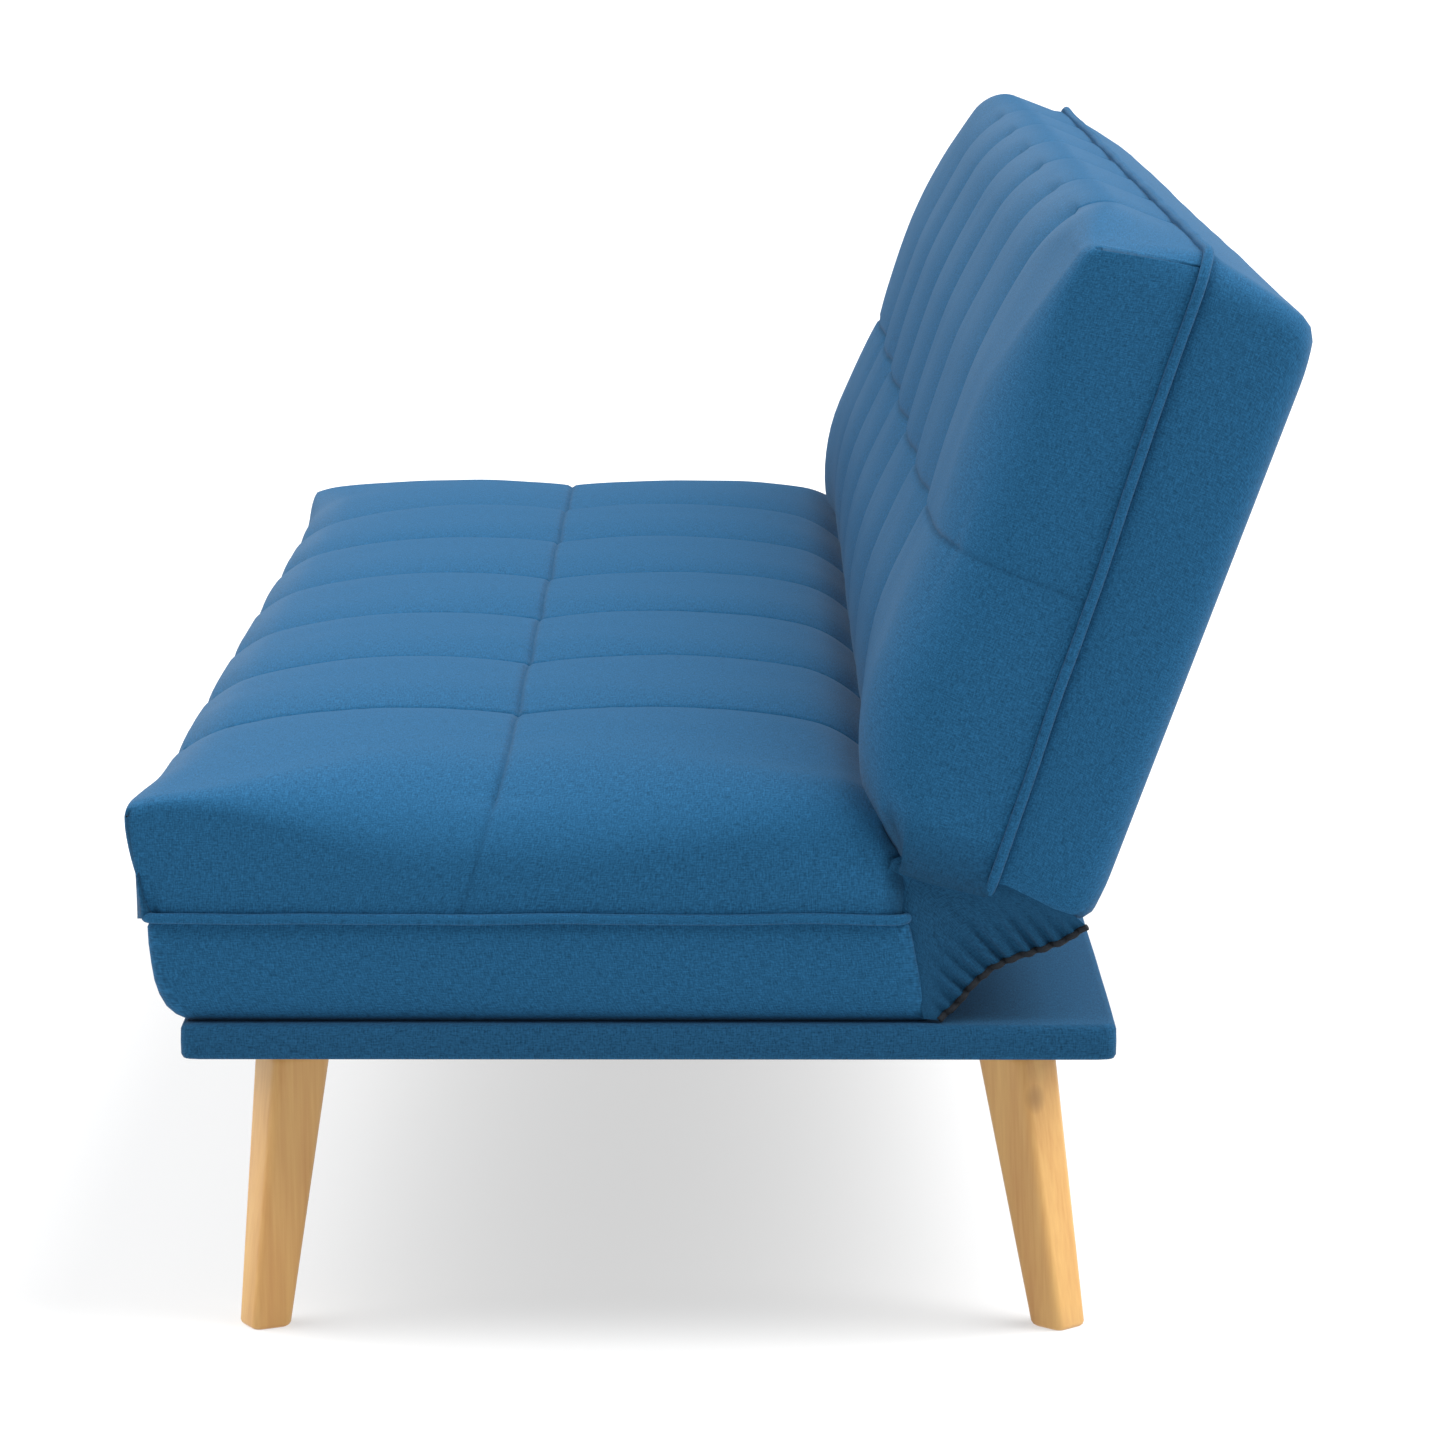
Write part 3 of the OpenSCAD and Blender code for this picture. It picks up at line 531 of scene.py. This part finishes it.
def cut_slit(piece, side):
    """Cuts a slot through a piece's lower edge, where the arm and the pawl pass at one end."""
    pawl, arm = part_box("pawl_" + side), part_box("seat_arm_" + side)
    x0 = min(pawl[0].x, arm[0].x) - SLIT_ROOM
    x1 = max(pawl[1].x, arm[1].x) + SLIT_ROOM
    verts = [from_back(x, u, v) for x in (x0, x1) for u in SLIT_U for v in SLIT_V]
    faces = [(0, 1, 3, 2), (4, 6, 7, 5), (0, 4, 5, 1), (2, 3, 7, 6), (0, 2, 6, 4), (1, 5, 7, 3)]
    cutter = mesh_object("slit_cutter", verts, faces, smooth_shade=False)
    cut = piece.modifiers.new("slit", "BOOLEAN")
    cut.operation = "DIFFERENCE"
    cut.solver = "EXACT"
    cut.object = cutter
    shape = piece.evaluated_get(bpy.context.evaluated_depsgraph_get())
    mesh = bpy.data.meshes.new_from_object(shape)
    piece.modifiers.clear()
    piece.data = mesh
    bpy.data.objects.remove(cutter)


for slit_side in ("left", "right"):
    cut_slit(back_welt, slit_side)
    cut_slit(back_box, slit_side)

# ---- gussets --------------------------------------------------------------------------------
# The sheet that closes the gap between seat and back, in y and z: its sewn line inside the seat
# and the back, and its gathered free edge, both from the foot of the seat upward
SEWN = ((136, 219), (130, 240), (123, 262), (116, 282), (110, 302), (114, 324), (132, 332),
        (154, 326), (178, 318), (204, 307), (232, 289))
FREE = ((146, 218), (158, 228), (168, 241), (181, 252), (196, 259), (212, 264), (228, 270),
        (242, 280))
PLEATS = 11


def polyline(points, t):
    """A point at the share t of a line's length."""
    p = np.array(points, float) * MM
    length = np.concatenate([[0], np.cumsum(np.linalg.norm(np.diff(p, axis=0), axis=1))])
    return np.array([np.interp(t * length[-1], length, p[:, k]) for k in range(2)])


def gusset(name, side, rows=26, columns=120):
    """Cloth from the sewn line to the gathered edge, with pleats that die out away from it."""
    verts, uvs = [], []
    x0 = side * (HALF - 7.5 * MM)
    seed = 3 if side > 0 else 11
    for i in range(columns + 1):
        s = i / columns
        uneven = s + 0.014 * noise.noise(Vector((s * 9, seed, 0)))
        a, b = polyline(SEWN, s), polyline(FREE, s)
        strength = 0.6 + 0.4 * noise.noise(Vector((s * PLEATS, seed, 4)))
        for j in range(rows + 1):
            t = j / rows
            y, z = a + (b - a) * t
            grow = smooth((t - 0.25) / 0.75) * math.sin(math.pi * min(1, s * 8, (1 - s) * 8) / 2)
            fold = math.sin(2 * math.pi * PLEATS * uneven + 1.4 * t)
            x = x0 + side * (grow * 4.2 * MM * strength * fold - 5 * MM * grow)
            x += 1.5 * MM * wobble((x0, y, z), 0.03, seed)
            verts.append((x, y, z))
            uvs.append((s * 0.2, t * 0.08))
    faces = [(i * (rows + 1) + j, (i + 1) * (rows + 1) + j, (i + 1) * (rows + 1) + j + 1,
              i * (rows + 1) + j + 1) for i in range(columns) for j in range(rows)]
    cloth = mesh_object(name, verts, faces, uvs)
    edge = [verts[i * (rows + 1) + rows] for i in range(columns + 1)]
    band = tube(name + "_elastic", edge, 2.2 * MM, sides=8, closed=False)
    return cloth, band


gusset_right, elastic_right = gusset("gusset_cloth_right", 1)
gusset_left, elastic_left = gusset("gusset_cloth_left", -1)

# ---- legs -----------------------------------------------------------------------------------
LEG_TOP_W, LEG_FOOT_W = 42 * MM, 28 * MM


def leg_piece(node, turn):
    """A turned square leg with rounded edges, between the CAD leg's ends."""
    cad = bpy.data.objects[node]
    co = np.array([tuple(cad.matrix_world @ v.co) for v in cad.data.vertices])
    top = co[co[:, 2] > co[:, 2].max() - MM].mean(axis=0)
    foot = co[co[:, 2] < MM].mean(axis=0)
    turn = math.radians(turn if top[0] > 0 else -turn)
    rings = []
    for t, grow in ((0, -2.2), (0.006, -0.7), (0.016, 0), *((q / 12, 0) for q in range(1, 13))):
        centre = foot + (top - foot) * t
        w = LEG_FOOT_W + (LEG_TOP_W - LEG_FOOT_W) * t + 2 * grow * MM
        ring = rounded_rect(w / 2, -w / 2, w / 2, w * 0.2, 2, 2, 7)
        rings.append([(centre[0] + x * math.cos(turn) - y * math.sin(turn),
                       centre[1] + x * math.sin(turn) + y * math.cos(turn), centre[2])
                      for x, y in ring])
    piece = loft(node.replace("leg_", "leg_wood_"), rings, True, True)
    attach(piece, "base")
    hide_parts(node)
    return piece


legs = [leg_piece("leg_front_left", 28), leg_piece("leg_front_right", 28),
        leg_piece("leg_rear_left", 45), leg_piece("leg_rear_right", 45)]

# ---- materials ------------------------------------------------------------------------------
def nodes_of(name):
    m = bpy.data.materials.new(name)
    m.use_nodes = True
    t = m.node_tree
    return m, t, t.nodes["Principled BSDF"]


def grained(name, colour, roughness=0.5, metallic=0.0, grain=(400, 400, 400), relief=0.15):
    """A colour broken up by a fine grain, which is also a slight relief."""
    m, t, bsdf = nodes_of(name)
    speck = noise_at(t, t.nodes.new("ShaderNodeTexCoord").outputs["Object"], grain, 2)
    darker, lighter = tuple(0.7 * c for c in colour), tuple(1.3 * c for c in colour)
    t.links.new(mix(t, speck, darker, lighter), bsdf.inputs["Base Color"])
    bsdf.inputs["Roughness"].default_value = roughness
    bsdf.inputs["Metallic"].default_value = metallic
    bump = t.nodes.new("ShaderNodeBump")
    bump.inputs["Strength"].default_value = relief
    bump.inputs["Distance"].default_value = 0.0004
    t.links.new(speck, bump.inputs["Height"])
    t.links.new(bump.outputs[0], bsdf.inputs["Normal"])
    return m


def math_node(tree, op, a, b=None):
    n = tree.nodes.new("ShaderNodeMath")
    n.operation = op
    for i, v in enumerate((a, b)):
        if isinstance(v, (int, float)):
            n.inputs[i].default_value = v
        elif v is not None:
            tree.links.new(v, n.inputs[i])
    return n.outputs[0]


def mix(tree, factor, a, b):
    """A colour between a and b, each a colour or a socket."""
    n = tree.nodes.new("ShaderNodeMix")
    n.data_type = "RGBA"
    tree.links.new(factor, n.inputs[0])
    for socket, v in ((n.inputs[6], a), (n.inputs[7], b)):
        if isinstance(v, tuple):
            socket.default_value = (*v, 1)
        else:
            tree.links.new(v, socket)
    return n.outputs[2]


def noise_at(tree, vector, scale, detail=1.5):
    """Noise of a vector stretched by a scale for each axis."""
    mapping = tree.nodes.new("ShaderNodeMapping")
    mapping.inputs["Scale"].default_value = scale
    tree.links.new(vector, mapping.inputs["Vector"])
    tex = tree.nodes.new("ShaderNodeTexNoise")
    tex.inputs["Scale"].default_value = 1.0
    tex.inputs["Detail"].default_value = detail
    tree.links.new(mapping.outputs[0], tex.inputs["Vector"])
    return tex.outputs["Fac"]


def fabric(name, colour, contrast=0.36):
    """Linen-look plain weave: streaky two-tone threads both ways, with a fine woven bump, and painted shade along
    the stitched seams.
    """
    m, t, bsdf = nodes_of(name)
    uv = t.nodes.new("ShaderNodeUVMap")
    uv.uv_map = "cloth"
    warp = noise_at(t, uv.outputs[0], (1600, 160, 1))
    weft = noise_at(t, uv.outputs[0], (160, 1600, 1))
    fleck = noise_at(t, uv.outputs[0], (700, 700, 1))
    both = math_node(t, "ADD", warp, weft)
    mean = math_node(t, "MULTIPLY", math_node(t, "ADD", both, fleck), 1 / 3)
    ramp = t.nodes.new("ShaderNodeMapRange")
    ramp.inputs["From Min"].default_value = 0.38
    ramp.inputs["From Max"].default_value = 0.62
    t.links.new(mean, ramp.inputs["Value"])
    dark = tuple(c * (1 - contrast) for c in colour)
    light = tuple(c * (1 + contrast) + 0.01 * contrast for c in colour)
    threads = mix(t, ramp.outputs[0], dark, light)
    # painted shade: along the stitched seams the cloth's colour is mixed towards a quarter of itself, standing in
    # for the shade in the seams' grooves
    seam = t.nodes.new("ShaderNodeAttribute")
    seam.attribute_name = "seam"
    shade = math_node(t, "MULTIPLY", seam.outputs["Fac"], 0.6)
    t.links.new(mix(t, shade, threads, tuple(0.25 * c for c in colour)), bsdf.inputs["Base Color"])
    bsdf.inputs["Roughness"].default_value = 0.95
    bsdf.inputs["Sheen Weight"].default_value = 0.09
    bsdf.inputs["Sheen Roughness"].default_value = 0.4
    bsdf.inputs["Sheen Tint"].default_value = (0.85, 0.92, 1.0, 1)
    bsdf.inputs["Specular IOR Level"].default_value = 0.15
    bump = t.nodes.new("ShaderNodeBump")
    bump.inputs["Strength"].default_value = 0.3
    bump.inputs["Distance"].default_value = 0.0005
    t.links.new(mean, bump.inputs["Height"])
    t.links.new(bump.outputs[0], bsdf.inputs["Normal"])
    return m


def wood(name, pale, deep, roughness=0.45, knot=None):
    """Straight-grained wood along Z, with a knot at a point when one is given."""
    m, t, bsdf = nodes_of(name)
    place = t.nodes.new("ShaderNodeTexCoord").outputs["Object"]
    broad = noise_at(t, place, (55, 55, 3.5), 3)
    fine = noise_at(t, place, (420, 420, 9), 2)
    grain = math_node(t, "ADD", math_node(t, "MULTIPLY", broad, 0.7),
                      math_node(t, "MULTIPLY", fine, 0.3))
    ramp = t.nodes.new("ShaderNodeMapRange")
    ramp.inputs["From Min"].default_value = 0.36
    ramp.inputs["From Max"].default_value = 0.66
    t.links.new(grain, ramp.inputs["Value"])
    colour = mix(t, ramp.outputs[0], pale, deep)
    if knot is not None:
        away = t.nodes.new("ShaderNodeVectorMath")
        away.operation = "DISTANCE"
        t.links.new(place, away.inputs[0])
        away.inputs[1].default_value = knot
        spot = t.nodes.new("ShaderNodeMapRange")
        spot.inputs["From Min"].default_value = 0.013
        spot.inputs["From Max"].default_value = 0.003
        t.links.new(away.outputs["Value"], spot.inputs["Value"])
        colour = mix(t, spot.outputs[0], colour, tuple(0.45 * c for c in deep))
    t.links.new(colour, bsdf.inputs["Base Color"])
    bsdf.inputs["Roughness"].default_value = roughness
    bsdf.inputs["Coat Weight"].default_value = 0.15
    bsdf.inputs["Coat Roughness"].default_value = 0.3
    return m


BLUE = (0.0105, 0.086, 0.190)
PALE_WOOD, DEEP_WOOD = (0.68, 0.40, 0.13), (0.56, 0.28, 0.08)
blue_fabric = fabric("blue_linen", BLUE)
# painted shade: the base's wrap is the seat's linen at 0.78 of its colour, darkened to stand in for the shade it
# lies in beneath the seat and back
shaded_wrap_fabric = fabric("blue_linen_wrap_painted_shade", tuple(0.78 * c for c in BLUE))
# painted shade: the gussets are the seat's linen at 0.68 of its colour, darkened to stand in for the shade in the
# crease between seat and back
gusset_fabric = fabric("blue_linen_gusset_painted_shade", tuple(0.68 * c for c in BLUE))
oiled = wood("oiled_wood", PALE_WOOD, DEEP_WOOD)
knot_leg = legs[3]
KNOT_Z = 155 * MM                       # height of the knot in the near rear leg
oiled_knot = wood("oiled_wood_knot", PALE_WOOD, DEEP_WOOD,
                  knot=(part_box("leg_rear_right")[1].x - 12 * MM, PIVOT.y + 62 * MM, KNOT_Z))
pine = wood("pine", (0.72, 0.52, 0.28), (0.60, 0.38, 0.17), 0.6)
elastic_black = grained("elastic_black", (0.006, 0.009, 0.014), 0.9, 0, (900, 900, 900), 0.5)
SLOT_LOOKS = {
    "pine": pine,
    "oiled_wood": oiled,
    "zinc_steel": grained("zinc_steel", (0.55, 0.56, 0.58), 0.35, 1.0, (90, 900, 90), 0.1),
    "black_steel": grained("black_steel", (0.03, 0.03, 0.035), 0.45, 0.6),
    "spring_steel": grained("spring_steel", (0.25, 0.26, 0.28), 0.35, 1.0, (90, 900, 90), 0.1),
    "clip_plastic": grained("clip_plastic", (0.02, 0.02, 0.02), 0.5),
    "foam": grained("foam", (0.60, 0.57, 0.48), 0.9, 0.0, (700, 700, 700), 0.6),
    "felt": grained("felt", (0.07, 0.07, 0.08), 0.95, 0.0, (1200, 300, 1200), 0.6),
    "webbing": grained("webbing", (0.03, 0.03, 0.03), 0.85, 0.0, (900, 900, 900), 0.5),
    "dust_cloth": grained("dust_cloth", (0.012, 0.013, 0.015), 0.95, 0.0, (900, 900, 900), 0.4),
    "elastic": elastic_black,
}
for part in frame["record"]["subparts"]:
    look = SLOT_LOOKS.get(part["material_slot"])
    if look is not None:
        cad = frame["nodes"][part["node"]]
        cad.data.materials.clear()
        cad.data.materials.append(look)

PIECES = (
    (seat_cover, "base", ("seat_cushion",), "quilted_fabric", blue_fabric),
    (back_cover, "back", ("back_cushion",), "quilted_fabric", blue_fabric),
    (seat_band, "base", ("seat_border",), "border_fabric", blue_fabric),
    (back_box, "back", ("back_border",), "border_fabric", blue_fabric),
    (seat_welt, "base", ("seat_piping",), "piping_fabric", blue_fabric),
    (back_welt, "back", ("back_piping",), "piping_fabric", blue_fabric),
    (base_wrap, "base", ("base_cover",), "base_fabric", shaded_wrap_fabric),
    (gusset_right, None, ("gusset_right",), "gusset_fabric", gusset_fabric),
    (gusset_left, None, ("gusset_left",), "gusset_fabric", gusset_fabric),
    (elastic_right, None, ("gusset_elastic_right",), "elastic", elastic_black),
    (elastic_left, None, ("gusset_elastic_left",), "elastic", elastic_black),
)
for obj, body, nodes, slot_name, look in PIECES:
    obj.data.materials.append(look)
    if body is not None:
        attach(obj, body)
    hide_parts(*nodes)
for leg in legs:
    leg.data.materials.append(oiled_knot if leg is knot_leg else oiled)
for side, cloth, band in ((1, gusset_right, elastic_right), (-1, gusset_left, elastic_left)):
    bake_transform(cloth)
    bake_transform(band)

# ---- stage, lights and camera ---------------------------------------------------------------
FAR = 80
world = bpy.data.worlds.new("studio")
bpy.context.scene.world = world
world.use_nodes = True
world.node_tree.nodes["Background"].inputs["Color"].default_value = (1, 1, 1, 1)
world.node_tree.nodes["Background"].inputs["Strength"].default_value = 0.32

floor = mesh_object("floor", [(-FAR, -FAR, 0), (FAR, -FAR, 0), (FAR, FAR, 0), (-FAR, FAR, 0)],
                    [(0, 1, 2, 3)], smooth_shade=False)
pale, _, floor_bsdf = nodes_of("pale_floor")
floor_bsdf.inputs["Base Color"].default_value = (0.42, 0.42, 0.42, 1)
floor_bsdf.inputs["Roughness"].default_value = 0.9
floor_bsdf.inputs["Emission Color"].default_value = (1, 1, 1, 1)
floor_bsdf.inputs["Emission Strength"].default_value = 0.55
floor.data.materials.append(pale)


def soft_sun(name, energy, spread, aim):
    data = bpy.data.lights.new(name, "SUN")
    data.energy = energy
    data.angle = math.radians(spread)
    obj = bpy.data.objects.new(name, data)
    obj.rotation_euler = Vector(aim).to_track_quat("-Z", "Y").to_euler()
    bpy.context.scene.collection.objects.link(obj)


soft_sun("front_sky", 2.7, 60, (0.12, 0.62, -0.78))
soft_sun("rear_sky", 4.6, 60, (0.05, -0.62, -0.78))

CAM_PLACE = (4.6678, 0.0171, 1.0099)
CAM_PITCH, CAM_YAW = math.radians(8.904), math.radians(0.1857)
camera_data = bpy.data.cameras.new("camera")
camera_data.lens = 148.12
camera_data.sensor_width = 36
camera = bpy.data.objects.new("camera", camera_data)
camera.location = CAM_PLACE
look = Vector((-math.cos(CAM_YAW) * math.cos(CAM_PITCH), -math.sin(CAM_YAW) * math.cos(CAM_PITCH),
               -math.sin(CAM_PITCH)))
camera.rotation_euler = look.to_track_quat("-Z", "Y").to_euler()
bpy.context.scene.collection.objects.link(camera)
bpy.context.scene.camera = camera
bpy.context.scene.view_settings.view_transform = "Standard"
